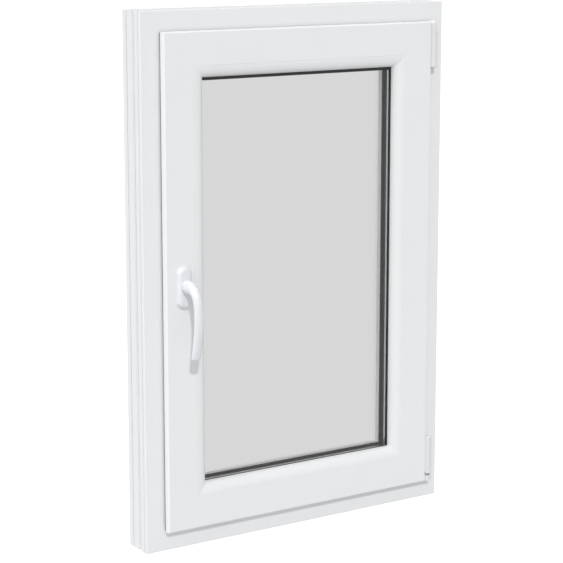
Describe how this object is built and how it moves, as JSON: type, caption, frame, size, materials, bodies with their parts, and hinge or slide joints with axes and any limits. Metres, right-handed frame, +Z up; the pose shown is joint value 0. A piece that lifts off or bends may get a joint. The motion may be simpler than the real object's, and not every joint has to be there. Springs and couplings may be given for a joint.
{
  "type": "casement window",
  "caption": "White tilt-and-turn casement window with double glazing, an inward-opening sash hinged on the right and a lever handle on the left stile.",
  "frame": {"origin": "middle of the sill's underside, at half the depth of the frame", "axes": "+X right as seen from the room, +Y through the wall towards outside, +Z up; the room side is -Y"},
  "size_m": [0.6, 0.139, 0.9],
  "materials": {
    "pvc_white": "smooth satin white PVC profile",
    "handle_white": "satin white powder coat",
    "cap_white": "moulded white plastic",
    "zinc_steel": "zinc plated steel",
    "galvanised": "galvanised sheet steel",
    "seal_black": "black elastomer",
    "sealant_black": "edge sealant",
    "spacer_grey": "mill finish aluminium",
    "clear_glass": "clear float glass",
    "packer_blue": "moulded plastic packer"
  },
  "bodies": {
    "frame": {"frame_head": "pvc_white", "frame_sill": "pvc_white", "frame_lock_jamb": "pvc_white", "frame_hinge_jamb": "pvc_white", "frame_steel": "galvanised", "frame_seal": "seal_black", "keepers": "zinc_steel", "keeper_screws": "zinc_steel", "drain_caps": "cap_white", "corner_bearing": "zinc_steel", "corner_bearing_cover": "cap_white", "stay_bearing": "cap_white", "stay_pin": "zinc_steel", "bearing_screws": "zinc_steel"},
    "corner_pivot": {"corner_pivot": "zinc_steel"},
    "sash": {"sash_top_rail": "pvc_white", "sash_bottom_rail": "pvc_white", "sash_lock_stile": "pvc_white", "sash_hinge_stile": "pvc_white", "sash_steel": "galvanised", "bead_top": "pvc_white", "bead_bottom": "pvc_white", "bead_lock_side": "pvc_white", "bead_hinge_side": "pvc_white", "inner_pane": "clear_glass", "outer_pane": "clear_glass", "spacer_bar": "spacer_grey", "edge_sealant": "sealant_black", "inner_gasket": "seal_black", "outer_gasket": "seal_black", "setting_blocks": "packer_blue", "lip_seal": "seal_black", "gearbox_housing": "zinc_steel", "lock_faceplate": "zinc_steel", "top_faceplate": "zinc_steel", "bottom_faceplate": "zinc_steel", "top_corner_drive": "zinc_steel", "bottom_corner_drive": "zinc_steel", "faceplate_screws": "zinc_steel", "hinge_band": "zinc_steel", "hinge_band_cap": "cap_white", "band_screws": "zinc_steel", "rosette_base": "zinc_steel", "rosette_cover": "handle_white", "rosette_screws": "zinc_steel"},
    "handle": {"handle_lever": "handle_white", "handle_spindle": "zinc_steel", "drive_pinion": "zinc_steel"},
    "lock_drive": {"lock_rod": "zinc_steel", "lock_cams": "zinc_steel"},
    "top_drive": {"top_rod": "zinc_steel", "top_cam": "zinc_steel"},
    "bottom_drive": {"bottom_rod": "zinc_steel", "bottom_cam": "zinc_steel"},
    "stay_band": {"stay_band": "cap_white"},
    "stay_arm": {"stay_arm": "zinc_steel", "arm_rivet": "zinc_steel"}
  },
  "joints": [
    {"name": "sash_tilt", "type": "hinge", "parent": "frame", "child": "corner_pivot", "pos_m": [0.273, -0.039, 0.04], "axis": [1, 0, 0], "range_deg": [0, 8]},
    {"name": "sash_turn", "type": "hinge", "parent": "corner_pivot", "child": "sash", "pos_m": [0.273, -0.039, 0.04], "axis": [0, 0, 1], "range_deg": [0, 90]},
    {"name": "handle_turn", "type": "hinge", "parent": "sash", "child": "handle", "pos_m": [-0.234, -0.046, 0.45], "axis": [0, -1, 0], "range_deg": [0, 180]},
    {"name": "lock_rod_slide", "type": "slide", "parent": "sash", "child": "lock_drive", "axis": [0, 0, 1], "range_m": [0, 0.0301]},
    {"name": "top_rod_slide", "type": "slide", "parent": "sash", "child": "top_drive", "axis": [1, 0, 0], "range_m": [0, 0.0301]},
    {"name": "bottom_rod_slide", "type": "slide", "parent": "sash", "child": "bottom_drive", "axis": [-1, 0, 0], "range_m": [0, 0.0301]},
    {"name": "stay_turn", "type": "hinge", "parent": "frame", "child": "stay_band", "pos_m": [0.273, -0.039, 0.855], "axis": [0, 0, 1], "range_deg": [0, 90.1]},
    {"name": "stay_arm_swing", "type": "hinge", "parent": "stay_band", "child": "stay_arm", "pos_m": [0.25, -0.021, 0.853], "axis": [0, 0, 1], "range_deg": [0, 23.46]}
  ],
  "couplings": [
    {"joint": "lock_rod_slide", "follows": "handle_turn", "m_per_rad": 0.0095493},
    {"joint": "top_rod_slide", "follows": "handle_turn", "m_per_rad": 0.0095493},
    {"joint": "bottom_rod_slide", "follows": "handle_turn", "m_per_rad": 0.0095493},
    {"joint": "stay_turn", "follows": "sash_turn", "ratio": 1},
    {"joint": "stay_arm_swing", "follows": "sash_tilt", "ratio": 2.92}
  ]
}
